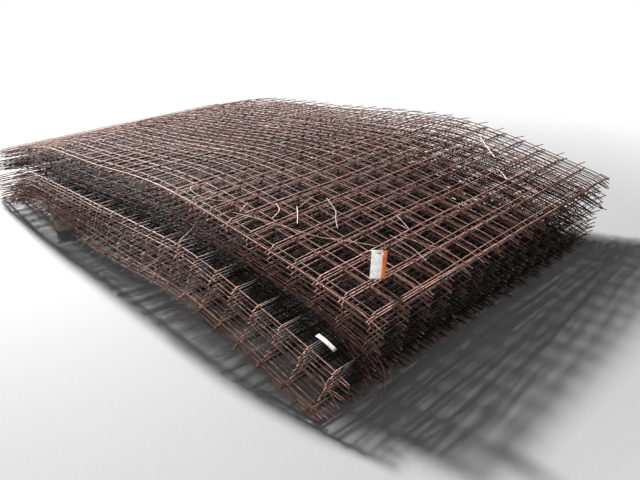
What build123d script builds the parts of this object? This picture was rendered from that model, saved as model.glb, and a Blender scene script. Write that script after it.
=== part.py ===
"""Stack of rusty welded wire mesh sheets, draped over two rows of timber dunnage.

X runs along the sheets toward the end that droops lowest, Y runs across them, Z is up.
Sizes are in millimetres.
"""
import os
from math import atan2, cos, degrees, pi, radians, sin, sqrt, tan

from build123d import *

os.makedirs("parts", exist_ok=True)

# Mesh sheet: 6 by 6 inch mesh, 8 by 15 feet
CELL = 152.4
LONG_WIRES = 16
CROSS_WIRES = 30
WIRE = 5.7
WELD_SINK = 1.0
END_OVERHANG = 76.2
NEAR_SIDE_OVERHANG = 25.4
FAR_SIDE_OVERHANG = 127.0

# Sheets in each group, counted from the ground, below the one top sheet
FOOT_SHEETS = 4
LOWER_SHEETS = 11
UPPER_SHEETS = 12

# Height that one sheet takes: over the timbers, at the low end and at the other end
SHEET_RISE = 18.5
LOW_END_RISE = 12.6
HIGH_END_RISE = 17.5

# How far each group is slid toward the open side, and how many degrees it is turned in plan
FOOT_SLIDE = 190.0
FOOT_TURN = 2.9
LOWER_SLIDE = 150.0
LOWER_TURN = 1.5

# Openings between the two bundles: over the low end, and at the tip of the other end
BUNDLE_GAP = 50.0
GAP_CLOSING = 0.93
HIGH_END_GAP = 70.0

# Toward the low end: where the sheets start to lie closer, where the top sheet is divided, and how
# much the drape shortens that half in plan
NESTING_X = 450.0
LOW_DIVISION_CELL = 10
LOW_END_SHORTENING = 43.0

# Dunnage, which reaches out past the first wire of the top sheet on the open side
TIMBER = 89.0
TIMBER_LENGTH = 2286.0
TIMBER_REACH = 105.0
TIMBER_OFFSET = 12.0
HIGH_END_DROOP = 165.0
LOW_SIDE_TIMBER_X = 1000.0
HIGH_SIDE_TIMBER_X = -915.0

# Grooves that part the hidden sheets
GROOVE_DEPTH = 60.0
GROOVE_SHEETS = 1
BAND_SHEETS = 3

# Tie wires, with the cells from the middle at which they go over the edge of each bundle
TIE_WIRE = 3.0
SEAT = 0.3
UPPER_TIE_REACH = 160.0
LOWER_TIE_REACH = 120.0
UPPER_TIE_TAIL = 60.0
LOWER_TIE_TAIL = 20.0
UPPER_TIE_CELLS = (-7, -6, 6)
LOWER_TIE_CELLS = (-5, 4)

# Loose wires on the top sheet: where each starts and ends and how far it bows, in cells
LOOSE_WIRE = 4.0
LOOSE_WIRES = (
    ((8.0, 0.3), (12.3, 2.2), -0.2),
    ((5.9, 2.0), (8.7, 2.8), 0.16),
    ((10.2, 3.7), (12.5, 5.2), 0.13),
    ((4.6, 9.8), (7.7, 10.6), -0.2),
    ((1.3, 1.6), (4.2, 0.9), 0.2),
)

# Tags
TAG_WIDTH = 66.0
TAG_LENGTH = 128.0
TAG_THICKNESS = 0.8
TAG_HOLE = 9.0
TAG_HOLE_INSET = 12.0
TAG_LEAN = 8.0
TAG_TURN = 42.0
TAG_CROSS_WIRE = 28
TAG_Y = 215.0
TAG_HOOK = 14.0
STRIP_TAG_X = 2040.0
STRIP_TAG_WIDTH = 38.0
STRIP_TAG_SHARE = 0.7

FOOT_TOP = FOOT_SHEETS
LOWER_TOP = FOOT_TOP + LOWER_SHEETS
SHEETS = LOWER_TOP + UPPER_SHEETS
MESH_WIDTH = (LONG_WIRES - 1) * CELL
HALF_LENGTH = (CROSS_WIRES - 1) * CELL / 2 + END_OVERHANG
CROSS_LENGTH = MESH_WIDTH + NEAR_SIDE_OVERHANG + FAR_SIDE_OVERHANG
DUNNAGE_HEIGHT = 2 * TIMBER
LOW_BEND_X = LOW_SIDE_TIMBER_X + TIMBER / 2 + TIMBER_OFFSET
HIGH_BEND_X = HIGH_SIDE_TIMBER_X - TIMBER / 2 - TIMBER_OFFSET
WALK_STEPS = 200


def cantilever(share):
    """Sag of an overhanging end that carries its own weight, from 0 at the support to 1 at the tip."""
    share = min(max(share, 0.0), 1.0)
    return (6 * share**2 - 4 * share**3 + share**4) / 3


def low_share(x):
    """How far along the low overhang a point lies, from 0 to 1."""
    return max(0.0, (x - LOW_BEND_X) / (HALF_LENGTH - LOW_END_SHORTENING - LOW_BEND_X))


def nesting_share(x):
    """How far a point lies from where the sheets start to lie closer to the low tip, from 0 to 1."""
    return max(0.0, (x - NESTING_X) / (HALF_LENGTH - LOW_END_SHORTENING - NESTING_X))


def high_share(x):
    """How far along the other overhang a point lies, from 0 to 1."""
    return max(0.0, (HIGH_BEND_X - x) / (HIGH_BEND_X + HALF_LENGTH))


def drape(sheets_below, x):
    """Height of the underside of a sheet that has this many sheets below it."""
    low = cantilever(low_share(x))
    high = cantilever(high_share(x))
    nesting = cantilever(nesting_share(x))
    base = DUNNAGE_HEIGHT * (1 - low) - HIGH_END_DROOP * high
    rise = SHEET_RISE - (SHEET_RISE - LOW_END_RISE) * nesting - (SHEET_RISE - HIGH_END_RISE) * high
    return base + sheets_below * rise


def plan_position(arc):
    """X reached by a length of wire laid along the drape from the middle of the top sheet."""
    x = 0.0
    step = arc / WALK_STEPS
    for _ in range(WALK_STEPS):
        slope = (drape(SHEETS, x + step) - drape(SHEETS, x)) / step
        x += step / sqrt(1 + slope**2)
    return x


def bend_positions():
    """X of every bend in the drape: at the timbers' outer edges and between cross wires over the ends."""
    bends = [LOW_BEND_X, HIGH_BEND_X, plan_position(HALF_LENGTH), plan_position(-HALF_LENGTH)]
    for cell in range(2, CROSS_WIRES // 2, 2):
        low = plan_position(cell * CELL)
        high = plan_position(-cell * CELL)
        if low > NESTING_X and abs(low - LOW_BEND_X) > CELL:
            bends.append(low)
        if high < HIGH_BEND_X - 2 * CELL:
            bends.append(high)
    return sorted(bends)


BENDS = bend_positions()
LEFT_END = BENDS[0]
RIGHT_END = BENDS[-1]


def between_bends(height, x):
    """A height that is set at the bends and runs straight between them."""
    for start, end in zip(BENDS, BENDS[1:]):
        if x <= end:
            break
    share = (x - start) / (end - start)
    return height(start) * (1 - share) + height(end) * share


def surface(sheets_below, x):
    """Height of the drape on its straight runs."""
    return between_bends(lambda bend: drape(sheets_below, bend), x)


def slope_angle(x):
    """Downhill angle of the top sheet in degrees, positive where it falls toward +X."""
    return degrees(atan2(surface(SHEETS, x - 1) - surface(SHEETS, x + 1), 2))


def span(start, end):
    """The ends of a stretch with the bends that lie between them."""
    return [start] + [x for x in BENDS if start < x < end] + [end]


def long_wire_profile(start, end):
    """Side view of a longitudinal wire of the top sheet."""
    below = [(x, surface(SHEETS, x)) for x in span(start, end)]
    above = [(x, z + WIRE) for x, z in below]
    return below + above[::-1]


def opening_at_bend(bend):
    """Opening between the bundles at a bend: it closes again at the low tip and grows to the other tip."""
    low_end = BUNDLE_GAP * sin(pi * GAP_CLOSING * low_share(bend))
    return low_end + HIGH_END_GAP * cantilever(high_share(bend))


def bundle_opening(x):
    """How far the lower bundle hangs clear of the upper one."""
    return between_bends(opening_at_bend, x)


def no_opening(x):
    """A bundle that lies against the one above all along."""
    return 0.0


def mesh_stretch(start, end):
    """A stretch of the top sheet: longitudinal wires below, cross wires welded on top of them."""
    planes = [Plane.XZ.offset(-j * CELL - WIRE / 2) for j in range(LONG_WIRES)]
    cross_places = []
    for x in [cross_wire_x(wire) for wire in range(CROSS_WIRES)]:
        if not start < x < end:
            continue
        angle = slope_angle(x)
        lift = (WIRE + WIRE / 2 - WELD_SINK) / cos(radians(angle))
        y = CROSS_LENGTH / 2 - NEAR_SIDE_OVERHANG
        cross_places.append(Location((x, y, surface(SHEETS, x) + lift), (0, angle, 0)))
    with BuildPart() as stretch:
        with BuildSketch(*planes):
            with BuildLine():
                Polyline(*long_wire_profile(start, end), close=True)
            make_face()
        extrude(amount=WIRE)
        with Locations(*cross_places):
            Box(WIRE, CROSS_LENGTH, WIRE)
    return stretch.part


def open_side(slide, turn, x):
    """Y of the first longitudinal wire of a bundle that is slid and turned in plan."""
    return -slide - x * tan(radians(turn))


def side_plane(slide, turn, inset):
    """Upright plane along the open side of a bundle, set in from it."""
    across = sin(radians(turn))
    along = cos(radians(turn))
    origin = (0, open_side(slide, turn, 0) - WIRE / 2 + inset, 0)
    return Plane(origin=origin, x_dir=(along, -across, 0), z_dir=(-across, -along, 0))


def stub_row(foot, turn, height):
    """Ends of cross wires stacked one above another, standing out of the open side of a bundle."""
    with BuildPart() as row:
        length = NEAR_SIDE_OVERHANG - WIRE / 2
        with Locations(Location(foot, (0, 0, -turn))):
            Box(WIRE, length, height, align=(Align.CENTER, Align.MAX, Align.MIN))
    return row.part


def bundle_core(bottom_sheets, top_sheets, slide, turn, opening, stub_wires=()):
    """Hidden sheets of a bundle as one solid, grooved where its groups of sheets part.

    The cross wires named as stub wires end in upright rows along the open side.
    """
    slant = 1 / cos(radians(turn))

    def height(sheets_below, x):
        share = (sheets_below - bottom_sheets) / (top_sheets - bottom_sheets)
        return surface(sheets_below, x) - opening(x) * share

    rows = []
    for wire in stub_wires:
        x = cross_wire_x(wire)
        low = height(bottom_sheets, x) + WIRE
        high = height(top_sheets, x) - WIRE
        rows.append(stub_row((x, open_side(slide, turn, x) - WIRE / 2, low), turn, high - low))

    with BuildPart() as core:
        level = bottom_sheets
        grooved = False
        while level < top_sheets:
            top = min(level + (GROOVE_SHEETS if grooved else BAND_SHEETS), top_sheets)
            inset = GROOVE_DEPTH if grooved else 0.0
            stations = span(LEFT_END + inset, RIGHT_END - inset)
            below = [(x * slant, height(level, x)) for x in stations]
            above = [(x * slant, height(top, x)) for x in reversed(stations)]
            with BuildSketch(side_plane(slide, turn, inset)):
                with BuildLine():
                    Polyline(*below, *above, close=True)
                make_face()
            extrude(amount=MESH_WIDTH + WIRE - 2 * inset, dir=(0, 1, 0))
            level = top
            grooved = not grooved
        if rows:
            add(rows)
    return core.part


def timber(x, height):
    """One length of square timber lying across the stack."""
    with BuildPart() as beam:
        with Locations((x, TIMBER_LENGTH / 2 - TIMBER_REACH, height + TIMBER / 2)):
            Box(TIMBER, TIMBER_LENGTH, TIMBER)
    return beam.part


def crest(x):
    """Height of the top of the cross wires of the top sheet."""
    return surface(SHEETS, x) + (2 * WIRE - WELD_SINK) / cos(radians(slope_angle(x)))


def bent_wire(points, size):
    """A stiff wire with six sides through the points given."""
    with BuildPart() as wire:
        with BuildLine() as path:
            Polyline(*points)
        with BuildSketch(Plane(origin=path.line @ 0, z_dir=path.line % 0)):
            RegularPolygon(size / 2, 6)
        sweep(path=path.line, transition=Transition.RIGHT)
    return wire.part


def edge_tie(x, top, bottom, edge, reach, tail):
    """A tie wire over the open edge of a bundle, down its side and out along the shelf below."""
    side = edge - WIRE / 2 - SEAT - TIE_WIRE / 2
    over = top + SEAT + TIE_WIRE / 2
    under = bottom + SEAT + TIE_WIRE / 2
    route = [(x, side + reach, over), (x, side, over), (x, side, under), (x, side - tail, under)]
    return bent_wire(route, TIE_WIRE)


def upper_tie(x):
    """A tie wire over the edge of the top sheet, down to the shelf of the lower bundle."""
    top = surface(SHEETS, x) + WIRE
    return edge_tie(x, top, surface(LOWER_TOP, x), 0.0, UPPER_TIE_REACH, UPPER_TIE_TAIL)


def lower_tie(x):
    """A tie wire over the shelf of the lower bundle, down to the shelf of the foot sheets."""
    edge = open_side(LOWER_SLIDE, LOWER_TURN, x)
    top = surface(LOWER_TOP, x)
    return edge_tie(x, top, surface(FOOT_TOP, x), edge, LOWER_TIE_REACH, LOWER_TIE_TAIL)


def laid_wire(start, end, bow):
    """A loose wire lying on the top sheet, bowed to one side, from places given in cells."""
    start_x, start_y = (place * CELL for place in start)
    end_x, end_y = (place * CELL for place in end)
    stations = span(start_x, end_x)
    if len(stations) == 2:
        stations.insert(1, (start_x + end_x) / 2)
    points = []
    for x in stations:
        share = (x - start_x) / (end_x - start_x)
        y = start_y + (end_y - start_y) * share + 4 * bow * CELL * share * (1 - share)
        points.append((x, y, crest(x) + SEAT + LOOSE_WIRE / 2))
    return bent_wire(points, LOOSE_WIRE)


def cross_wire_x(wire):
    """X of a cross wire of the top sheet, counted from the high end."""
    return plan_position((wire - (CROSS_WIRES - 1) / 2) * CELL)


def seat_height(wire):
    """Height at which a thing stands on a cross wire."""
    return crest(cross_wire_x(wire) - WIRE / 2) + SEAT


def hanging_tag():
    """A blank tag that hangs on edge from its wire, its foot on a cross wire."""
    with BuildPart() as tag:
        with BuildSketch(Plane.XZ):
            with Locations((0, TAG_LENGTH / 2)):
                Rectangle(TAG_WIDTH, TAG_LENGTH)
            with Locations((0, TAG_LENGTH - TAG_HOLE_INSET)):
                Circle(TAG_HOLE / 2, mode=Mode.SUBTRACT)
        extrude(amount=TAG_THICKNESS)
    place = Pos(cross_wire_x(TAG_CROSS_WIRE), TAG_Y, seat_height(TAG_CROSS_WIRE))
    return place * Rot(0, 0, TAG_TURN) * Rot(-TAG_LEAN, 0, 0) * tag.part


def tag_wire():
    """The wire that carries the hanging tag: up from the sheet and out through the hole."""
    along_tag = TAG_LENGTH - TAG_HOLE_INSET + TAG_HOLE / 2 - SEAT - TIE_WIRE / 2
    lean_back = along_tag * sin(radians(TAG_LEAN))
    facing = radians(TAG_TURN)
    hole_x = cross_wire_x(TAG_CROSS_WIRE) - lean_back * sin(facing)
    hole_y = TAG_Y + lean_back * cos(facing)
    hole_z = seat_height(TAG_CROSS_WIRE) + along_tag * cos(radians(TAG_LEAN))
    foot_x = cross_wire_x(TAG_CROSS_WIRE - 1)
    foot_y = hole_y + (hole_x - foot_x) / tan(facing)
    front = (hole_x + TAG_HOOK * sin(facing), hole_y - TAG_HOOK * cos(facing), hole_z)
    back = (hole_x - TAG_HOOK * sin(facing), hole_y + TAG_HOOK * cos(facing), hole_z)
    foot = (foot_x, foot_y, seat_height(TAG_CROSS_WIRE - 1) + TIE_WIRE / 2)
    return bent_wire([front, back, foot], TIE_WIRE)


def strip_tag():
    """A blank tag lying on the shelf of the lower bundle, along the sheets."""
    x = STRIP_TAG_X
    height = surface(LOWER_TOP, x) - bundle_opening(x)
    ahead = surface(LOWER_TOP, x + 1) - bundle_opening(x + 1)
    angle = degrees(atan2(height - ahead, 1))
    middle = open_side(LOWER_SLIDE, LOWER_TURN, x) * STRIP_TAG_SHARE
    with BuildPart() as tag:
        Box(TAG_LENGTH, STRIP_TAG_WIDTH, TAG_THICKNESS, align=(Align.CENTER, Align.CENTER, Align.MIN))
    return Pos(x, middle, height + SEAT) * Rot(0, angle, 0) * tag.part


upper_ties = [upper_tie(cell * CELL) for cell in UPPER_TIE_CELLS]
lower_ties = [lower_tie(cell * CELL) for cell in LOWER_TIE_CELLS]
low_division = plan_position(LOW_DIVISION_CELL * CELL)
pieces = {
    "low_side_bottom_timber": [timber(LOW_SIDE_TIMBER_X, 0.0)],
    "low_side_top_timber": [timber(LOW_SIDE_TIMBER_X + TIMBER_OFFSET, TIMBER)],
    "high_side_bottom_timber": [timber(HIGH_SIDE_TIMBER_X, 0.0)],
    "high_side_top_timber": [timber(HIGH_SIDE_TIMBER_X - TIMBER_OFFSET, TIMBER)],
    "foot_sheets": [bundle_core(0, FOOT_TOP, FOOT_SLIDE, FOOT_TURN, no_opening)],
    "lower_bundle_sheets": [
        bundle_core(FOOT_TOP, LOWER_TOP, LOWER_SLIDE, LOWER_TURN, bundle_opening, range(CROSS_WIRES))
    ],
    "upper_bundle_sheets": [bundle_core(LOWER_TOP, SHEETS, 0.0, 0.0, no_opening)],
    "top_sheet_high_end": [mesh_stretch(LEFT_END, HIGH_BEND_X)],
    "top_sheet_middle": [mesh_stretch(HIGH_BEND_X, LOW_BEND_X)],
    "top_sheet_low_bend": [mesh_stretch(LOW_BEND_X, low_division)],
    "top_sheet_low_end": [mesh_stretch(low_division, RIGHT_END)],
    "tie_wires": upper_ties + lower_ties,
    "loose_wires": [laid_wire(start, end, bow) for start, end, bow in LOOSE_WIRES],
    "hanging_tag": [hanging_tag()],
    "tag_wire": [tag_wire()],
    "strip_tag": [strip_tag()],
}

box = Compound(children=[solid for group in pieces.values() for solid in group]).bounding_box()
centring = Pos(-(box.min.X + box.max.X) / 2, -(box.min.Y + box.max.Y) / 2, -box.min.Z)
for name, solids in pieces.items():
    group = Compound([part for solid in solids for part in (centring * solid).solids()])
    group.label = name
    export_step(group, f"parts/{name}.step")
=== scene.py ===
"""Dresses the stack of welded wire mesh: every sheet as bent wires, its ties, tags and timbers.

Metres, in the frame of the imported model: X runs along the sheets toward the low end, Y runs across
them toward the far side, Z is up.
"""
from dataclasses import dataclass
from math import cos, pi, radians, sin

import bpy
import numpy as np
from mathutils import Matrix, Vector


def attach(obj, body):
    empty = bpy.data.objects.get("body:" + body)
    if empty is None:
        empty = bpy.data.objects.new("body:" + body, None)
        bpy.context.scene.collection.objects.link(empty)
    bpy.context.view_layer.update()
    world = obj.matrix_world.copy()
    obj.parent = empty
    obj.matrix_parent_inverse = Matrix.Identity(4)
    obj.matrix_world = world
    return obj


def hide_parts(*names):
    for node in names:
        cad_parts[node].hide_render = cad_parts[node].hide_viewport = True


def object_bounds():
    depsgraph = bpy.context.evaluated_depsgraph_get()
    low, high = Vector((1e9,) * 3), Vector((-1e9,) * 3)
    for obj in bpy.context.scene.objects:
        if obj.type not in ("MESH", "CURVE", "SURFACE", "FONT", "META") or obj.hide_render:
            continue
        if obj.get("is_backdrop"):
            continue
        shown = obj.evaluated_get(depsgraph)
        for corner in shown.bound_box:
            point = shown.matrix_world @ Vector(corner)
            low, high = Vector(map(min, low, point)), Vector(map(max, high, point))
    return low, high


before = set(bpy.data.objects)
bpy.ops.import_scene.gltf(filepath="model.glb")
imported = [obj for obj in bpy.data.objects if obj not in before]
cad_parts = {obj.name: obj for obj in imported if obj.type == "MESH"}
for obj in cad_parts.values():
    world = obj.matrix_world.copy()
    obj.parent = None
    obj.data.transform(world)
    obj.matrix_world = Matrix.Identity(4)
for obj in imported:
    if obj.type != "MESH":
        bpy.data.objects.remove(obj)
cad_low, cad_high = (np.array(corner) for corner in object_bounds())

# Mesh sheet
CELL = 0.1524
LONG_WIRES = 16
CROSS_WIRES = 30
WIRE = 0.0057
WELD_SINK = 0.001
END_OVERHANG = 0.0762
FAR_OVERHANG = 0.127
SHORTEST_FAR = 0.85
MESH_WIDTH = (LONG_WIRES - 1) * CELL
MESH_LENGTH = (CROSS_WIRES - 1) * CELL

# Place of the sheets: middle of their length, and first longitudinal wire of the top sheet
MIDDLE_X = 0.0135
NEAR_Y = -1.0533

# Share of the way across a surface, which may reach a little past its two drapes
LEAST_SHARE = -0.05
MOST_SHARE = 1.06

# Where sheets sag between the timbers on the open side, and where they fan out at the low end
SPAN_MIDDLE = 0.1
SPAN_HALF = 0.98
SAG_REACH = 0.45
MOST_SAG = 1.1
TIP_START = 1.75
TIP_LENGTH = 0.5
TIP_INSIDE = 0.4

# Unevenness: its waves, and its size along X, along Y and up for a group and for one sheet
WAVES = 5
WAVE_ALONG = 2.2
WAVE_ACROSS = 2.0
WAVE_SUM = 2.2
GROUP_RIPPLE = (0.004, 0.008, 0.003)
SHEET_RIPPLE = (0.0010, 0.0018, 0.0034)
CLOSER_ALONG = 1.5
CLOSER_ACROSS = 2.0

# How single sheets differ: a few lie looser or upside down, and a gap may split a group
LOOSER_SHARE = 0.12
LOOSER_FACTOR = 4.0
TURN_SPREAD = 0.02
FLIPPED_SHARE = 0.25
SPLIT_GAP = 0.8
SEEDS = 1 << 30

# Droop of the wires' free ends as shares of their length, and how many are bent more
LONG_DROOP = 0.05
NEAR_DROOP = 0.25
FAR_DROOP = 0.08
BENT_SHARE = 0.07

# Painted shade, darker the deeper a wire lies in the stack: how fast that depth grows in from a side and
# an end, where the bundle above adds to it, and the depth of hanging wires
SIDE_GROWTH = 2.0
END_GROWTH = 6.0
ROOF_START = -1.5
ROOF_LENGTH = 0.9
HANGING_SHADE_DEPTH = 0.02

# Tubes
SIDES = 6
LONG_POINTS = 41
CROSS_POINTS = 13
CORNER_CUTS = 3
FEWEST_STATIONS = 4
TINY = 1e-12

# Reach and number of the stations along a group, and how far outside it a wire lies
WALK_REACH = 2.6
WALK_STATIONS = 521
SIDE_CLEARANCE = 0.009

# Camera
CAMERA_PLACE = (3.4017, -2.4839, 1.4129)
CAMERA_AZIMUTH = 46.12
CAMERA_PITCH = 21.84
CAMERA_ROLL = -3.13
FOCAL_PIXELS = 550.0
PHOTO_WIDTH = 640.0
SENSOR = 36.0

# Share of a tag's width over which its stripe begins
STRIPE_EDGE = 0.02

# Floor, light and background
FLOOR_HALF = 40.0
FLOOR_UNSEEN = (0.05, 0.05, 0.05)
FLOOR_DARK = (0.190, 0.190, 0.190)
FLOOR_LIGHT = (0.200, 0.200, 0.200)
FADE_START = 2.9
FADE_END = 5.2
LAMP_TARGET = (0, 0, 0.3)
WORLD_LIGHT = 0.19


def cantilever(share):
    """Sag of an overhanging end that carries its own weight, from 0 at the support to 1 at the tip."""
    share = np.clip(share, 0.0, 1.0)
    return (6 * share**2 - 4 * share**3 + share**4) / 3


class Drape:
    """Height curve along one side: level over the timbers, with an end that sags each way.

    Each end is the X where it starts to sag, its length and its drop at the tip.
    """

    def __init__(self, crown, low, high):
        self.crown = crown
        self.low = low
        self.high = high

    def height(self, x):
        start, length, drop = self.low
        sag = drop * cantilever((x - start) / length)
        start, length, drop = self.high
        return self.crown - sag - drop * cantilever((start - x) / length)


class Surface:
    """Surface that runs straight from the drape of its open side to the drape of its far side."""

    def __init__(self, open_y, near, far):
        self.open_y = open_y
        self.near = near
        self.far = far

    def height(self, x, y):
        far_y = NEAR_Y + MESH_WIDTH
        share = np.clip((y - self.open_y) / (far_y - self.open_y), LEAST_SHARE, MOST_SHARE)
        return self.near.height(x) * (1 - share) + self.far.height(x) * share


# Surfaces under, between and over the groups of sheets, from the lowest up
FOOT_BOTTOM = Surface(
    open_y=NEAR_Y - 0.185,
    near=Drape(crown=0.181, low=(1.05, 1.05, 0.177), high=(-1.00, 1.05, 0.177)),
    far=Drape(crown=0.184, low=(1.10, 1.14, 0.180), high=(-0.98, 1.20, 0.165)),
)
FOOT_TOP = Surface(
    open_y=NEAR_Y - 0.185,
    near=Drape(crown=0.224, low=(1.05, 1.08, 0.183), high=(-1.00, 1.10, 0.180)),
    far=Drape(crown=0.240, low=(1.05, 1.15, 0.196), high=(-0.98, 1.22, 0.168)),
)
LOWER_TOP = Surface(
    open_y=NEAR_Y - 0.166,
    near=Drape(crown=0.437, low=(0.95, 1.32, 0.262), high=(-1.00, 1.25, 0.212)),
    far=Drape(crown=0.438, low=(0.900, 1.35, 0.255), high=(-0.98, 1.26, 0.180)),
)
UPPER_BOTTOM = Surface(
    open_y=NEAR_Y - 0.070,
    near=Drape(crown=0.442, low=(0.80, 1.50, 0.238), high=(-1.00, 1.25, 0.170)),
    far=Drape(crown=0.455, low=(0.920, 1.35, 0.260), high=(-1.00, 1.25, 0.160)),
)
TOP = Surface(
    open_y=NEAR_Y,
    near=Drape(crown=0.645, low=(0.483, 1.80, 0.318), high=(-0.818, 1.33, 0.180)),
    far=Drape(crown=0.680, low=(0.933, 1.344, 0.318), high=(-1.018, 1.13, 0.130)),
)


def walk(bottom, top):
    """Arc length along the middle of a group at each X, to lay wires of true length along it."""
    xs = np.linspace(-WALK_REACH, WALK_REACH, WALK_STATIONS)
    middle_y = NEAR_Y + MESH_WIDTH / 2
    heights = (bottom.height(xs, middle_y) + top.height(xs, middle_y)) / 2
    steps = np.hypot(np.diff(xs), np.diff(heights))
    arcs = np.concatenate([[0.0], np.cumsum(steps)])
    return xs, arcs - np.interp(MIDDLE_X, xs, arcs)


def ripple(seed, along, across, size):
    """Gentle random unevenness over a sheet, the same for both wires of a crossing."""
    rng = np.random.default_rng(seed)
    total = np.zeros(np.broadcast(along, across).shape)
    for _ in range(WAVES):
        wave = rng.normal(0, WAVE_ALONG) * along + rng.normal(0, WAVE_ACROSS) * across
        total = total + np.sin(wave + rng.uniform(0, 2 * pi))
    return total * size / WAVE_SUM


@dataclass
class Group:
    """Sheets of a bundle that lie together between two surfaces."""

    sheets: int
    bottom: Surface
    top: Surface
    seed: int

    # Place in plan: slide toward the open side, turn in degrees, shift along X
    slide: float = 0.0
    turn: float = 0.0
    shift: float = 0.0

    # How much further the lowest sheet is slid, by what power, and how much further it is turned
    fan: float = 0.0
    fan_power: float = 1.0
    turn_fan: float = 0.0

    # How far single sheets differ in place, and in shape for each metre across
    looseness: float = 0.003
    racking: float = 0.0

    # Heights: first sheet above a gap, lift of all, sag on the open side, fan at the low end
    split: int | None = None
    lift: float = 0.0
    middle_sag: float = 0.0
    tip_fan: float = 0.0

    # Least and most that a cross wire reaches past the first longitudinal wire
    near_overhang: tuple = (0.014, 0.024)

    # Painted shade: depth that what lies above adds, past a strip along the open side, and the share
    # of the depth that counts at an edge
    cover: float = 0.0
    open_strip: float = 0.0
    side_shade_share: float = 0.0

    def __post_init__(self):
        self.rng = np.random.default_rng(self.seed)

    def share(self, level):
        """Height of a sheet within its group, with a thin gap where the group is split."""
        if self.split is None:
            return (level + 0.5) / self.sheets
        raised = SPLIT_GAP if level >= self.split else 0.0
        return (level + 0.5 + raised) / (self.sheets + SPLIT_GAP)

    def slide_at(self, share):
        """How far a sheet is slid toward the open side, by its height within the group."""
        return self.slide + self.fan * (1 - share) ** self.fan_power

    def height(self, share, x, y):
        """Height of the middle of a sheet over places in plan."""
        z = self.bottom.height(x, y) * (1 - share) + self.top.height(x, y) * share
        between_timbers = np.clip(1 - ((x - SPAN_MIDDLE) / SPAN_HALF) ** 2, 0.0, 1.0)
        open_side = np.clip(1 - (y - self.bottom.open_y) / SAG_REACH, 0.0, MOST_SAG)
        sag = self.middle_sag * between_timbers * open_side
        tip = np.clip((x - TIP_START) / TIP_LENGTH, 0.0, 1.0) ** 2 * (1 - share) ** 2
        return z - sag - self.tip_fan * tip * np.clip(open_side, TIP_INSIDE, 1.0)

    def side(self, x, z=np.inf):
        """Y just outside the open side, at a height or at the top edge, where a wire lies against it."""
        bottom = self.bottom.height(x, NEAR_Y)
        share = np.clip((z - bottom) / (self.top.height(x, NEAR_Y) - bottom), 0.0, 1.0)
        turn = radians(self.turn + self.turn_fan * (1 - share))
        return NEAR_Y - self.slide_at(share) - turn * x - SIDE_CLEARANCE

    def sheet(self, level, x_of_arc):
        """Paths and painted-shade depths of one sheet, for its longitudinal wires and for its cross
        wires.
        """
        rng = self.rng
        share = self.share(level)
        out = self.slide_at(share)
        loose = self.looseness * (LOOSER_FACTOR if rng.random() < LOOSER_SHARE else 1.0)
        shift_x = self.shift + rng.normal(0, loose)
        shift_y = rng.normal(0, loose)
        turn = radians(self.turn + self.turn_fan * (1 - share) + rng.normal(0, TURN_SPREAD))
        side = -1 if rng.random() < FLIPPED_SHARE and self.sheets > 1 else 1
        own_seed = int(rng.integers(SEEDS))
        rack, spread = np.random.default_rng(own_seed).normal(0, self.racking, 2)
        xs, arcs = x_of_arc

        def place(along, across, lift):
            """Points of a wire from its places on the flat sheet."""
            x = np.interp(along, arcs, xs)
            y = NEAR_Y - out + across
            x, y = x + turn * (across - MESH_WIDTH / 2) + shift_x, y - turn * x + shift_y
            x, y = x + rack * across, y + spread * across
            x = x + ripple(self.seed, along, across, GROUP_RIPPLE[0])
            x = x + ripple(own_seed, along, across, SHEET_RIPPLE[0])
            y = y + ripple(self.seed + 1, along, across, GROUP_RIPPLE[1])
            y = y + ripple(own_seed + 1, along, across, SHEET_RIPPLE[1])
            z = self.height(share, x, y) + lift
            z = z + ripple(self.seed + 2, along, across, GROUP_RIPPLE[2])
            along, across = along * CLOSER_ALONG, across * CLOSER_ACROSS
            z = z + ripple(own_seed + 2, along, across, SHEET_RIPPLE[2])
            return np.stack([x, y, z], axis=-1)

        half_step = (WIRE - WELD_SINK) / 2
        end = MESH_LENGTH / 2 + END_OVERHANG

        def shade_depth(path, along, across):
            """How deep each point of a wire lies inside the stack, which sets how much painted shade
            darkens it.
            """
            from_side = SIDE_GROWTH * np.minimum(across, MESH_WIDTH - across)
            from_end = END_GROWTH * (end - np.abs(along))
            inward = np.clip(np.minimum(from_side, from_end), 0.0, None)
            depth = self.top.height(path[:, 0], path[:, 1]) - path[:, 2]
            roofed = np.clip((path[:, 0] - ROOF_START) / ROOF_LENGTH, 0.0, 1.0)
            depth = np.clip(depth, 0.0, None) + self.cover * (roofed * (across > self.open_strip))
            return np.minimum(depth, self.side_shade_share * depth + inward)

        long_paths = []
        long_shade_depths = []
        for wire in range(LONG_WIRES):
            along = np.linspace(-end, end, LONG_POINTS)
            across = np.full_like(along, wire * CELL)
            path = place(along, across, -side * half_step)
            self.bend_end(path, -1, END_OVERHANG, 1, LONG_DROOP)
            self.bend_end(path, 0, END_OVERHANG, 1, LONG_DROOP, wild=0.16, usual=0.10)
            long_paths.append(path)
            long_shade_depths.append(shade_depth(path, along, across))
        cross_paths = []
        cross_shade_depths = []
        for wire in range(CROSS_WIRES):
            near = rng.uniform(*self.near_overhang)
            far = FAR_OVERHANG * rng.uniform(SHORTEST_FAR, 1.0)
            inner = np.linspace(0.0, MESH_WIDTH, CROSS_POINTS - 2)
            across = np.concatenate([[-near], inner, [MESH_WIDTH + far]])
            along = np.full_like(across, (wire - (CROSS_WIRES - 1) / 2) * CELL)
            path = place(along, across, side * half_step)
            self.bend_end(path, 0, near, 0, NEAR_DROOP)
            self.bend_end(path, -1, far, 0, FAR_DROOP)
            cross_paths.append(path)
            cross_shade_depths.append(shade_depth(path, along, across))
        return (long_paths, cross_paths), (long_shade_depths, cross_shade_depths)

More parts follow.
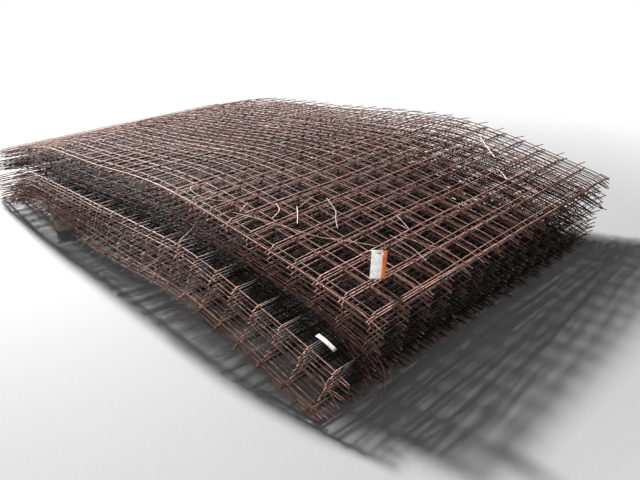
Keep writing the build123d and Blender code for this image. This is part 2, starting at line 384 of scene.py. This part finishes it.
    def bend_end(self, path, end, length, side_axis, droop, wild=0.30, usual=0.05):
        """Bends the free end of a wire down and aside, most only slightly."""
        scale = wild if self.rng.random() < BENT_SHARE else usual
        path[end, 2] -= length * (droop + abs(self.rng.normal(0, scale)))
        path[end, side_axis] += length * self.rng.normal(0, scale)

    def wires(self):
        """Paths and painted-shade depths of the group, for its longitudinal wires and for its cross
        wires.
        """
        x_of_arc = walk(self.bottom, self.top)
        sheets = [self.sheet(level, x_of_arc) for level in range(self.sheets)]
        paths = [np.concatenate([np.array(sheet[0][kind]) for sheet in sheets]) for kind in (0, 1)]
        shade_depths = [np.concatenate([np.array(sheet[1][kind]) for sheet in sheets]) for kind in (0, 1)]
        for batch in paths:
            batch[..., 2] += self.lift
        return paths, shade_depths


def bent_path(points, step=0.012):
    """A stiff wire's path with rounded bends near the points given."""
    path = np.array(points, float)
    for _ in range(CORNER_CUTS):
        cuts = np.stack([0.75 * path[:-1] + 0.25 * path[1:], 0.25 * path[:-1] + 0.75 * path[1:]], axis=1)
        path = np.concatenate([path[:1], cuts.reshape(-1, 3), path[-1:]])
    arcs = np.concatenate([[0.0], np.cumsum(np.linalg.norm(np.diff(path, axis=0), axis=1))])
    stations = np.linspace(0.0, arcs[-1], max(FEWEST_STATIONS, int(arcs[-1] / step)))
    return np.stack([np.interp(stations, arcs, path[:, axis]) for axis in range(3)], axis=1)


def ring_mesh(paths, shade_depth, radius):
    """Round wires along paths that have as many points each; the flat ends have corners of their own."""
    paths = np.clip(paths, cad_low + radius, cad_high - radius)
    wires, points, _ = paths.shape
    tangent = np.gradient(paths, axis=1)
    tangent /= np.linalg.norm(tangent, axis=2, keepdims=True) + TINY
    aside = np.cross(tangent, (0.0, 0.0, 1.0))
    aside /= np.linalg.norm(aside, axis=2, keepdims=True) + TINY
    upward = np.cross(aside, tangent)
    turns = np.arange(SIDES) * 2 * pi / SIDES
    ring = radius * (
        np.cos(turns)[None, None, :, None] * aside[:, :, None, :]
        + np.sin(turns)[None, None, :, None] * upward[:, :, None, :]
    )
    corners = paths[:, :, None, :] + ring
    ends = corners[:, [0, -1]]
    index = np.arange(wires * points * SIDES).reshape(wires, points, SIDES)
    here = index[:, :-1]
    there = index[:, 1:]
    walls = np.stack(
        [here, np.roll(here, -1, axis=2), np.roll(there, -1, axis=2), there], axis=-1
    ).reshape(-1, 4)
    cap = index.size + np.arange(wires * 2 * SIDES).reshape(wires, 2, SIDES)
    start = cap[:, 0]
    end = cap[:, 1]
    caps = np.concatenate([
        start[:, [3, 2, 1, 0]], start[:, [5, 4, 3, 0]],
        end[:, [0, 1, 2, 3]], end[:, [0, 3, 4, 5]],
    ])
    tint = np.random.default_rng(wires * points).random(wires)
    return {
        "corners": np.concatenate([corners.reshape(-1, 3), ends.reshape(-1, 3)]),
        "faces": np.concatenate([walls, caps]),
        "tint": np.concatenate([np.repeat(tint, points * SIDES), np.repeat(tint, 2 * SIDES)]),
        "shade_depth": np.concatenate([
            np.repeat(np.ravel(shade_depth), SIDES), np.repeat(np.ravel(shade_depth[:, [0, -1]]), SIDES),
        ]),
    }


def wire_object(name, batches, shade_depths, radius, material):
    """One mesh object of many round wires, with a random tint for each wire and its depth in the stack
    for painted shade.
    """
    pairs = zip(batches, shade_depths)
    parts = [ring_mesh(np.asarray(paths, float), shade_depth, radius) for paths, shade_depth in pairs]
    starts = np.cumsum([0] + [len(part["corners"]) for part in parts])
    corners = np.concatenate([part["corners"] for part in parts])
    faces = np.concatenate([part["faces"] + start for part, start in zip(parts, starts)])
    mesh = bpy.data.meshes.new(name)
    mesh.vertices.add(len(corners))
    mesh.vertices.foreach_set("co", corners.astype(np.float32).ravel())
    mesh.loops.add(faces.size)
    mesh.loops.foreach_set("vertex_index", faces.astype(np.int32).ravel())
    mesh.polygons.add(len(faces))
    mesh.polygons.foreach_set("loop_start", np.arange(0, faces.size, 4, dtype=np.int32))
    mesh.update(calc_edges=True)
    mesh.shade_smooth()
    for key in ("tint", "shade_depth"):
        attribute = mesh.attributes.new(key, "FLOAT", "POINT")
        values = np.concatenate([part[key] for part in parts])
        attribute.data.foreach_set("value", values.astype(np.float32))
    mesh.materials.append(material)
    piece = bpy.data.objects.new(name, mesh)
    bpy.context.scene.collection.objects.link(piece)
    return piece


class Nodes:
    """Small helper to build a material's node tree."""

    def __init__(self, name):
        self.material = bpy.data.materials.new(name)
        self.material.use_nodes = True
        self.tree = self.material.node_tree
        self.shader = self.tree.nodes["Principled BSDF"]

    def add(self, kind, inputs=None, **settings):
        node = self.tree.nodes.new(kind)
        for key, value in settings.items():
            setattr(node, key, value)
        for key, value in (inputs or {}).items():
            if isinstance(value, bpy.types.NodeSocket):
                self.tree.links.new(value, node.inputs[key])
            else:
                node.inputs[key].default_value = value
        return node

    def noise(self, scale, detail=4.0, roughness=0.55, stretch=None):
        place = self.add("ShaderNodeTexCoord").outputs["Object"]
        if stretch:
            place = self.add("ShaderNodeMapping", {"Vector": place, "Scale": stretch}).outputs["Vector"]
        inputs = {"Vector": place, "Scale": scale, "Detail": detail, "Roughness": roughness}
        return self.add("ShaderNodeTexNoise", inputs).outputs["Fac"]

    def ramp(self, value, stops):
        node = self.add("ShaderNodeValToRGB", {"Fac": value})
        elements = node.color_ramp.elements
        while len(elements) < len(stops):
            elements.new(0.5)
        for element, (place, colour) in zip(elements, stops):
            element.position = place
            element.color = (*colour, 1.0)
        return node.outputs["Color"]

    def mix(self, share, first, second, blend="MIX"):
        """Mix of two colours, whose sockets share a name with others and are taken by number."""
        node = self.add("ShaderNodeMix", data_type="RGBA", blend_type=blend)
        sockets = (node.inputs["Factor"], node.inputs[6], node.inputs[7])
        for socket, value in zip(sockets, (share, first, second)):
            if isinstance(value, bpy.types.NodeSocket):
                self.tree.links.new(value, socket)
            elif isinstance(value, tuple):
                socket.default_value = (*value, 1.0)
            else:
                socket.default_value = value
        return node.outputs[2]

    def spread(self, value, low, high):
        inputs = {"Value": value, "To Min": low, "To Max": high}
        return self.add("ShaderNodeMapRange", inputs).outputs["Result"]

    def connect(self, socket, value):
        if isinstance(value, bpy.types.NodeSocket):
            self.tree.links.new(value, self.shader.inputs[socket])
        else:
            self.shader.inputs[socket].default_value = value

    def bump(self, height, strength, distance):
        inputs = {"Height": height, "Strength": strength, "Distance": distance}
        self.connect("Normal", self.add("ShaderNodeBump", inputs).outputs["Normal"])


def rust_material(name, dark, middle, light, spot):
    """Rusted wire: brown scale with lighter powder, orange spots, a tint of its own on each wire, and
    painted shade that darkens it deep in the stack, a little lighter with dust at the outside.
    """
    nodes = Nodes(name)
    patches = nodes.noise(42.0, detail=6.0, roughness=0.65)
    scale = nodes.ramp(patches, [(0.28, dark), (0.5, middle), (0.72, light)])
    blotches = nodes.noise(9.0, detail=5.0, roughness=0.6)
    spots = nodes.ramp(blotches, [(0.52, (0, 0, 0)), (0.72, (1, 1, 1))])
    colour = nodes.mix(spots, scale, spot)
    tint = nodes.add("ShaderNodeAttribute", attribute_name="tint").outputs["Fac"]
    shade = nodes.ramp(tint, [
        (0.0, (0.55, 0.53, 0.55)),
        (0.5, (0.95, 0.92, 0.92)),
        (1.0, (1.25, 1.2, 1.18)),
    ])
    colour = nodes.mix(1.0, colour, shade, "MULTIPLY")
    # Painted shade: the colour darkens with the wire's depth inside the stack, to a sixteenth deep
    # inside; the outermost wires get a little lighter, for dust.
    painted_shade_depth = nodes.add("ShaderNodeAttribute", attribute_name="shade_depth").outputs["Fac"]
    dust_and_painted_shade = nodes.ramp(painted_shade_depth, [
        (0.0, (1.12, 1.09, 1.06)),
        (0.022, (0.84, 0.78, 0.77)),
        (0.050, (0.40, 0.36, 0.36)),
        (0.080, (0.14, 0.125, 0.13)),
        (0.160, (0.06, 0.055, 0.06)),
    ])
    colour = nodes.mix(1.0, colour, dust_and_painted_shade, "MULTIPLY")
    nodes.connect("Base Color", colour)
    nodes.connect("Roughness", nodes.spread(nodes.noise(60.0), low=0.5, high=0.9))
    nodes.connect("Metallic", 0.12)
    nodes.connect("Specular IOR Level", 0.4)
    nodes.bump(nodes.noise(700.0, detail=5.0, roughness=0.7), strength=0.5, distance=0.0006)
    return nodes.material


def timber_material():
    """Weathered softwood: grey grain along the timber, warmer where it is stained."""
    nodes = Nodes("weathered_timber")
    grain = nodes.noise(26.0, detail=8.0, roughness=0.6, stretch=(3.0, 0.12, 3.0))
    colour = nodes.ramp(grain, [
        (0.30, (0.22, 0.185, 0.14)),
        (0.48, (0.52, 0.46, 0.37)),
        (0.66, (0.74, 0.68, 0.57)),
    ])
    stain = nodes.ramp(nodes.noise(5.0, detail=3.0), [(0.50, (0, 0, 0)), (0.66, (0.8, 0.8, 0.8))])
    colour = nodes.mix(stain, colour, (0.26, 0.13, 0.05))
    nodes.connect("Base Color", colour)
    nodes.connect("Roughness", 0.9)
    nodes.bump(grain, strength=0.7, distance=0.003)
    return nodes.material


def tag_material(name, orange_from):
    """Blank weathered label: off-white face, faint grime, and orange past a share of its width."""
    nodes = Nodes(name)
    dirt = nodes.noise(55.0, detail=6.0)
    grime = nodes.ramp(dirt, [(0.35, (0.66, 0.64, 0.62)), (0.6, (0.88, 0.87, 0.86))])
    across = nodes.add("ShaderNodeAttribute", attribute_name="band").outputs["Fac"]
    ranges = {"Value": across, "From Min": orange_from, "From Max": orange_from + STRIPE_EDGE}
    stripe = nodes.add("ShaderNodeMapRange", ranges).outputs["Result"]
    nodes.connect("Base Color", nodes.mix(stripe, grime, (0.85, 0.22, 0.06)))
    nodes.connect("Roughness", 0.55)
    nodes.connect("Subsurface Weight", 0.35)
    nodes.connect("Subsurface Radius", (1.0, 1.0, 1.0))
    nodes.connect("Subsurface Scale", 0.004)
    nodes.bump(nodes.noise(240.0), strength=0.2, distance=0.0005)
    return nodes.material


def floor_material():
    """Pale plain floor that fades to white away from the stack, and sends little light back up."""
    nodes = Nodes("floor")
    fine = nodes.ramp(nodes.noise(60.0), [(0.3, FLOOR_DARK), (0.7, FLOOR_LIGHT)])
    nodes.connect("Base Color", nodes.mix(seen_directly(nodes), FLOOR_UNSEEN, fine))
    nodes.connect("Roughness", 0.85)
    place = nodes.add("ShaderNodeTexCoord").outputs["Object"]
    distance = nodes.add("ShaderNodeVectorMath", {0: place}, operation="LENGTH").outputs["Value"]
    ranges = {"Value": distance, "From Min": FADE_START, "From Max": FADE_END}
    fade = nodes.add("ShaderNodeMapRange", ranges).outputs["Result"]
    factors = {0: fade, 1: seen_directly(nodes)}
    seen = nodes.add("ShaderNodeMath", factors, operation="MULTIPLY").outputs["Value"]
    white = nodes.add("ShaderNodeEmission", {"Color": (1, 1, 1, 1), "Strength": 1.0}).outputs["Emission"]
    mixed = nodes.add("ShaderNodeMixShader", {0: seen, 1: nodes.shader.outputs["BSDF"], 2: white})
    nodes.tree.links.new(mixed.outputs["Shader"], nodes.tree.nodes["Material Output"].inputs["Surface"])
    return nodes.material


def seen_directly(nodes):
    """Is 1 for what the camera, a reflection or glass sees, and 0 for light that falls on the stack."""
    rays = nodes.add("ShaderNodeLightPath").outputs
    pair = {0: rays["Is Camera Ray"], 1: rays["Is Glossy Ray"]}
    either = nodes.add("ShaderNodeMath", pair, operation="MAXIMUM").outputs["Value"]
    all_three = {0: either, 1: rays["Is Transmission Ray"]}
    return nodes.add("ShaderNodeMath", all_three, operation="MAXIMUM").outputs["Value"]


rust = rust_material(
    "rusty_wire",
    dark=(0.065, 0.029, 0.026),
    middle=(0.290, 0.160, 0.138),
    light=(0.600, 0.420, 0.380),
    spot=(0.330, 0.165, 0.100),
)
tie_rust = rust_material(
    "rusty_tie_wire",
    dark=(0.20, 0.13, 0.11),
    middle=(0.46, 0.35, 0.31),
    light=(0.72, 0.61, 0.55),
    spot=(0.48, 0.31, 0.23),
)

# Groups of sheets
top_sheet = Group(1, TOP, TOP, seed=11, lift=-0.0045)
upper = Group(
    12, UPPER_BOTTOM, TOP, seed=11, fan=0.065, racking=0.009,
    split=7, lift=-0.0090, tip_fan=0.06, side_shade_share=0.35,
)
lower = Group(
    11, FOOT_TOP, LOWER_TOP, seed=3, slide=0.140, turn=1.5, shift=0.005,
    fan=0.060, fan_power=0.5, turn_fan=1.3, racking=0.009, cover=0.3, open_strip=0.060,
)
foot = Group(
    4, FOOT_BOTTOM, FOOT_TOP, seed=8, slide=0.185, turn=2.9, shift=-0.05, fan=0.012,
    looseness=0.008, middle_sag=0.035, near_overhang=(0.025, 0.040), cover=0.3, open_strip=0.03,
)

# Bent wires that hang out of the upper bundle at its open corner
HANGING_ENDS = (
    (
        (1.98, -1.105, 0.268), (2.121, -1.120, 0.186), (2.182, -1.120, 0.119),
        (2.203, -1.120, 0.057), (2.192, -1.125, 0.006),
    ),
    (
        (2.02, -1.100, 0.245), (2.150, -1.090, 0.150), (2.215, -1.100, 0.075),
        (2.238, -1.100, 0.030), (2.240, -1.105, 0.006),
    ),
    ((2.08, -1.060, 0.215), (2.200, -1.060, 0.120), (2.242, -1.060, 0.070), (2.250, -1.060, 0.006)),
    ((2.10, -1.030, 0.200), (2.215, -1.040, 0.130), (2.247, -1.050, 0.080), (2.235, -1.065, 0.020)),
    ((2.15, -1.000, 0.170), (2.235, -1.000, 0.075), (2.250, -1.000, 0.006)),
)


def mesh_piece(name, group, *nodes, hanging=()):
    """A group's wires as one piece in place of its solids, with wires that hang out of it."""
    paths, shade_depths = group.wires()
    for points in hanging:
        path = bent_path(points)[None]
        paths.append(path)
        shade_depths.append(np.full(path.shape[:2], HANGING_SHADE_DEPTH))
    piece = wire_object(name, paths, shade_depths, WIRE / 2, rust)
    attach(piece, "root")
    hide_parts(*nodes)


mesh_piece(
    "top_sheet_wires", top_sheet,
    "top_sheet_high_end", "top_sheet_middle", "top_sheet_low_bend", "top_sheet_low_end",
)
mesh_piece("upper_bundle_wires", upper, "upper_bundle_sheets", hanging=HANGING_ENDS)
mesh_piece("lower_bundle_wires", lower, "lower_bundle_sheets")
mesh_piece("foot_sheet_wires", foot, "foot_sheets")

# Timbers
wood = timber_material()
for end in ("low_side", "high_side"):
    for place in ("bottom", "top"):
        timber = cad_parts[f"{end}_{place}_timber"]
        timber.data.materials.clear()
        timber.data.materials.append(wood)

# Thin wires: radii, heights over the surface of the top sheet, and a direction that none runs along
TIE_RADIUS = 0.0015
LOOSE_RADIUS = 0.0020
TAG_WIRE_RADIUS = 0.0013
ON_TOP = 0.0045
OVER_EDGE = 0.006
UNLIKE_TIES = (0.31, 0.87, 0.38)

# Ties: gaps at the edge, places on the way down, and how far each end goes aside, down and out
EDGE_GAP = 0.003
CORNER_GAP = 0.004
TIE_PLACES = (0.12, 0.5, 0.85)
TIE_ENDS = ((-0.050, 0.035), (0.032, 0.060))
TIE_BEND_OUT = 0.012
TIE_END_OUT = 0.016


def twisted(path, offset=0.0017, pitch=0.016):
    """Two strands wound around a path."""
    count = len(path)
    tangent = np.gradient(path, axis=0)
    tangent /= np.linalg.norm(tangent, axis=1, keepdims=True)
    aside = np.cross(tangent, UNLIKE_TIES)
    aside /= np.linalg.norm(aside, axis=1, keepdims=True)
    upward = np.cross(aside, tangent)
    step = np.linalg.norm(path[1] - path[0])
    turn = (np.arange(count) * step / pitch * 2 * pi)[:, None]
    wind = offset * (np.cos(turn) * aside + np.sin(turn) * upward)
    return [path + wind, path - wind]


def on_top(x, y, above=0.0):
    """Point on the wires of the top sheet."""
    return (x, y, float(TOP.height(x, y)) + ON_TOP + above)


def on_side(group, x, z):
    """Point against the open side of a bundle."""
    return (x, float(group.side(x, z)), z)


def edge_height(surface, group, x):
    """Height of a surface at the open side of a bundle."""
    return float(surface.height(x, group.side(x)))


def small_wires(name, paths, radius, *nodes):
    """Thin wires as one piece in place of the solids named."""
    batches = [path[None] for path in paths]
    # Thin wires get no painted shade: their depth in the stack is zero.
    no_shade_depth = [np.zeros(batch.shape[:2]) for batch in batches]
    piece = wire_object(name, batches, no_shade_depth, radius, tie_rust)
    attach(piece, "root")
    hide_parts(*nodes)


def tie(group, x, top, depth, reach, lean):
    """A twisted tie around the edge of a bundle, with its two ends turned out below."""
    edge = float(group.side(x, top)) + EDGE_GAP
    over = [(x, edge + reach, top + OVER_EDGE), (x, edge + CORNER_GAP, top + OVER_EDGE)]
    bottom = top - depth
    down = [on_side(group, x + lean * share, top + (bottom - top) * share) for share in TIE_PLACES]
    strands = twisted(bent_path(over + down, step=0.003))
    knot = down[-1]
    for aside, fall in TIE_ENDS:
        bend = (knot[0] + aside * 0.5, knot[1] - TIE_BEND_OUT, knot[2] - fall * 0.4)
        tip = (knot[0] + aside, knot[1] - TIE_END_OUT, knot[2] - fall)
        strands.append(bent_path([knot, bend, tip]))
    return strands


# Whole ties: X, how far down each goes, and how far in over the bundle
ties = []
for x, depth in ((-1.053, 0.130), (-0.901, 0.085)):
    ties += tie(upper, x, edge_height(TOP, upper, x), depth, reach=0.150, lean=-0.03)
for x, reach in ((-0.749, 0.060), (0.166, 0.075)):
    ties += tie(lower, x, edge_height(LOWER_TOP, lower, x), 0.160, reach, lean=-0.05)

# Fallen strands of a broken tie: X of their start, and X and Z of their ends
FALLEN_X = -1.065
FALLEN_ENDS = ((-1.36, 0.452), (-1.25, 0.470), (-1.16, 0.485))
for x, z in FALLEN_ENDS:
    ties.append(bent_path([
        on_top(-1.06, -0.960), on_top(FALLEN_X, NEAR_Y - 0.004, 0.004),
        on_side(upper, FALLEN_X * 0.6 + x * 0.4, 0.570), on_side(upper, x, z),
    ]))

# One long strand over both bundles, and a doubled one across the side of the lower bundle
ties.append(bent_path([
    on_top(1.080, -0.930), on_top(1.085, NEAR_Y - 0.004, 0.006), on_side(upper, 1.078, 0.500),
    (1.070, -1.150, 0.450), on_side(lower, 1.085, 0.432), on_side(lower, 1.130, 0.340),
    on_side(lower, 1.175, 0.290),
]))
STRAND_GAP = 0.007
for lift in (0.0, STRAND_GAP):
    side = [float(lower.side(x, z)) for x, z in ((1.095, 0.425), (0.960, 0.310), (0.830, 0.230))]
    ties.append(bent_path([
        (1.130, -1.170, 0.440), (1.095, side[0] - 0.006, 0.430 + lift),
        (0.960, side[1] - 0.020, 0.310 + lift), (0.830, side[2] - 0.030, 0.225 + 2 * lift),
    ]))
small_wires("tie_wire_strands", ties, TIE_RADIUS, "tie_wires")

# Loose wires that lie on the top sheet, as X and Y along each
LOOSE_WIRES = {
    "long": (
        (1.280, -1.021), (1.425, -0.960), (1.565, -0.910),
        (1.690, -0.850), (1.790, -0.776), (1.905, -0.699),
    ),
    "hooked": ((1.339, -0.795), (1.400, -0.817), (1.449, -0.913)),
    "bowed": ((1.426, -0.732), (1.487, -0.784), (1.554, -0.851)),
    "waved": ((1.458, -0.548), (1.582, -0.605), (1.623, -0.663), (1.700, -0.726)),
    "straight": ((1.244, -0.899), (1.292, -0.988)),
    "crossing": ((1.399, -0.592), (1.439, -0.731)),
    "short": ((1.783, -0.385), (1.828, -0.403), (1.903, -0.438)),
    "fanned": ((1.916, -0.526), (2.028, -0.481), (2.132, -0.430)),
    "fanned_again": ((1.880, -0.560), (2.010, -0.560), (2.110, -0.590)),
    "edge": ((0.912, -0.930), (0.905, -1.033), (1.040, -1.046), (1.127, -1.020), (1.163, -0.981)),
    "far": ((1.514, 0.892), (1.691, 0.842), (1.789, 0.793)),
    "far_bowed": ((1.797, 0.600), (1.846, 0.585), (1.900, 0.534)),
    "far_crossing": ((1.470, 0.966), (1.590, 0.850), (1.716, 0.731)),
}
LOOSE_START_RISE = 0.004
LOOSE_RISE = 0.012
rise_rng = np.random.default_rng(21)
loose = []
for places in LOOSE_WIRES.values():
    rises = rise_rng.uniform(0.0, LOOSE_RISE, len(places))
    rises[0] = LOOSE_START_RISE
    loose.append(bent_path([on_top(x, y, rise) for (x, y), rise in zip(places, rises)]))
small_wires("loose_wire_pieces", loose, LOOSE_RADIUS, "loose_wires")

# Tags
TAG_THICKNESS = 0.0009
ACROSS = (0.0, 0.5, 1.0)


def tag_piece(name, rows, hole, material, node):
    """A thin blank tag from rows of points across it, with a hole in its last stretch if it has one."""
    points = [point for row in rows for point in row]
    width = len(rows[0])
    faces = []
    for row in range(len(rows) - (3 if hole else 1)):
        for column in range(width - 1):
            first = row * width + column
            faces.append((first, first + 1, first + width + 1, first + width))
    if hole:
        low, middle, high = (np.arange(3) + width * (len(rows) - back) for back in (3, 2, 1))
        around = [low[0], low[1], low[2], middle[2], high[2], high[1], high[0], middle[0]]
        first = len(points)
        points += hole
        for corner in range(len(around)):
            after = (corner + 1) % len(around)
            faces.append((around[corner], around[after], first + after, first + corner))
    mesh = bpy.data.meshes.new(name)
    corners = [tuple(point) for point in points]
    mesh.from_pydata(corners, [], [tuple(int(i) for i in face) for face in faces])
    band = mesh.attributes.new("band", "FLOAT", "POINT")
    shares = [column / (width - 1) for _ in rows for column in range(width)] + [0.5] * len(hole)
    band.data.foreach_set("value", np.array(shares, np.float32))
    mesh.materials.append(material)
    mesh.shade_smooth()
    piece = bpy.data.objects.new(name, mesh)
    solid = piece.modifiers.new("thickness", "SOLIDIFY")
    solid.thickness = TAG_THICKNESS
    solid.offset = 0.0
    bpy.context.scene.collection.objects.link(piece)
    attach(piece, "root")
    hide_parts(node)


# Hanging tag: foot on the top sheet, its face toward the open corner
TAG_FOOT = (2.068, -0.880)
TAG_TURN = 42.0
TAG_LEAN = 8.0
TAG_ROLL = 5.0
TAG_WIDTH = 0.066
TAG_LENGTH = 0.128
TAG_CURL = 0.004
TAG_CUP = 0.003
TAG_HOLE = 0.0045
TAG_HOLE_INSET = 0.012
TAG_PLAIN = 0.100
TAG_STEPS = 10
tag_frame = (
    Matrix.Translation(on_top(*TAG_FOOT, 0.003))
    @ Matrix.Rotation(radians(TAG_TURN), 4, "Z")
    @ Matrix.Rotation(radians(-TAG_LEAN), 4, "X")
    @ Matrix.Rotation(radians(TAG_ROLL), 4, "Y")
)


def tag_point(across, along):
    """Point of the hanging tag, which curls a little along it and across it."""
    curl = TAG_CURL * cos(pi * along / TAG_LENGTH) + TAG_CUP * (2 * across / TAG_WIDTH) ** 2
    return tag_frame @ Vector((across, curl, along))


hole_height = TAG_LENGTH - TAG_HOLE_INSET
heights = [TAG_PLAIN * step / TAG_STEPS for step in range(TAG_STEPS + 1)] + [hole_height, TAG_LENGTH]
tag_rows = [[tag_point(TAG_WIDTH * (share - 0.5), height) for share in ACROSS] for height in heights]
tag_hole = [
    tag_point(TAG_HOLE * cos(radians(turn)), hole_height + TAG_HOLE * sin(radians(turn)))
    for turn in range(-135, 225, 45)
]
hanging_look = tag_material("hanging_tag", orange_from=0.70)
tag_piece("hanging_tag_sheet", tag_rows, tag_hole, hanging_look, "hanging_tag")

# Its wire, from one cross wire up through the hole and down to the next cell
eye = tag_point(0.0, hole_height)
behind = tag_frame.to_3x3() @ Vector((0.0, 0.012, 0.0))
over_eye = Vector((0.0, 0.0, 0.004))
small_wires("tag_wire_strands", [
    bent_path([on_top(1.900, -0.770), on_top(1.930, -0.775, 0.030), eye + behind, eye - behind]),
    bent_path([
        eye - behind, eye + behind + over_eye, on_top(2.035, -0.740, 0.050), on_top(2.018, -0.655),
    ]),
], TAG_WIRE_RADIUS, "tag_wire")

# Strip tag on the shelf of the lower bundle, all white: its stripe would start past its edge
STRIP_X = (2.018, 2.120)
STRIP_Y = (-1.196, -1.202)
STRIP_WIDTH = 0.022
STRIP_ABOVE = 0.008
STRIP_ARCH = 0.004
STRIP_STEPS = 10
strip_rows = []
for step in range(STRIP_STEPS + 1):
    x = STRIP_X[0] + (STRIP_X[1] - STRIP_X[0]) * step / STRIP_STEPS
    middle = STRIP_Y[0] + (STRIP_Y[1] - STRIP_Y[0]) * step / STRIP_STEPS
    z = float(LOWER_TOP.height(x, middle)) + STRIP_ABOVE + STRIP_ARCH * sin(pi * step / STRIP_STEPS)
    strip_rows.append([Vector((x, middle + STRIP_WIDTH * (share - 0.5), z)) for share in ACROSS])
strip_look = tag_material("strip_tag", orange_from=2.0)
tag_piece("strip_tag_sheet", strip_rows, [], strip_look, "strip_tag")

# Camera at the photograph's place
camera_data = bpy.data.cameras.new("camera")
camera_data.sensor_width = SENSOR
camera_data.lens = FOCAL_PIXELS / PHOTO_WIDTH * SENSOR
camera = bpy.data.objects.new("camera", camera_data)
camera.matrix_world = (
    Matrix.Translation(CAMERA_PLACE)
    @ Matrix.Rotation(radians(CAMERA_AZIMUTH), 4, "Z")
    @ Matrix.Rotation(radians(90 - CAMERA_PITCH), 4, "X")
    @ Matrix.Rotation(radians(CAMERA_ROLL), 4, "Z")
)
bpy.context.scene.collection.objects.link(camera)
bpy.context.scene.camera = camera

# Floor
floor_mesh = bpy.data.meshes.new("floor")
floor_corners = [(FLOOR_HALF * x, FLOOR_HALF * y, 0) for x, y in ((-1, -1), (1, -1), (1, 1), (-1, 1))]
floor_mesh.from_pydata(floor_corners, [], [(0, 1, 2, 3)])
floor_mesh.materials.append(floor_material())
floor = bpy.data.objects.new("floor", floor_mesh)
bpy.context.scene.collection.objects.link(floor)
floor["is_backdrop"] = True


def area_light(name, place, size, power):
    """A round lamp that faces the stack."""
    data = bpy.data.lights.new(name, "AREA")
    data.shape = "DISK"
    data.size = size
    data.energy = power
    lamp = bpy.data.objects.new(name, data)
    lamp.location = place
    lamp.rotation_euler = (Vector(LAMP_TARGET) - Vector(place)).to_track_quat("-Z", "Y").to_euler()
    bpy.context.scene.collection.objects.link(lamp)


area_light("key", place=(-41.4, 9.6, 25.5), size=6.0, power=140000)
area_light("fill", place=(5.0, -6.0, 5.0), size=5.0, power=105)

# World: white where the camera sees it, and a low even light on the stack
world = bpy.data.worlds.new("world")
bpy.context.scene.world = world
world.use_nodes = True
sky = world.node_tree
background = sky.nodes["Background"]
background.inputs["Color"].default_value = (1.0, 1.0, 1.0, 1.0)
rays = sky.nodes.new("ShaderNodeLightPath").outputs
strength = sky.nodes.new("ShaderNodeMapRange")
strength.inputs["To Min"].default_value = WORLD_LIGHT
strength.inputs["To Max"].default_value = 1.0
sky.links.new(rays["Is Camera Ray"], strength.inputs["Value"])
sky.links.new(strength.outputs["Result"], background.inputs["Strength"])

bpy.context.scene.view_settings.view_transform = "Standard"
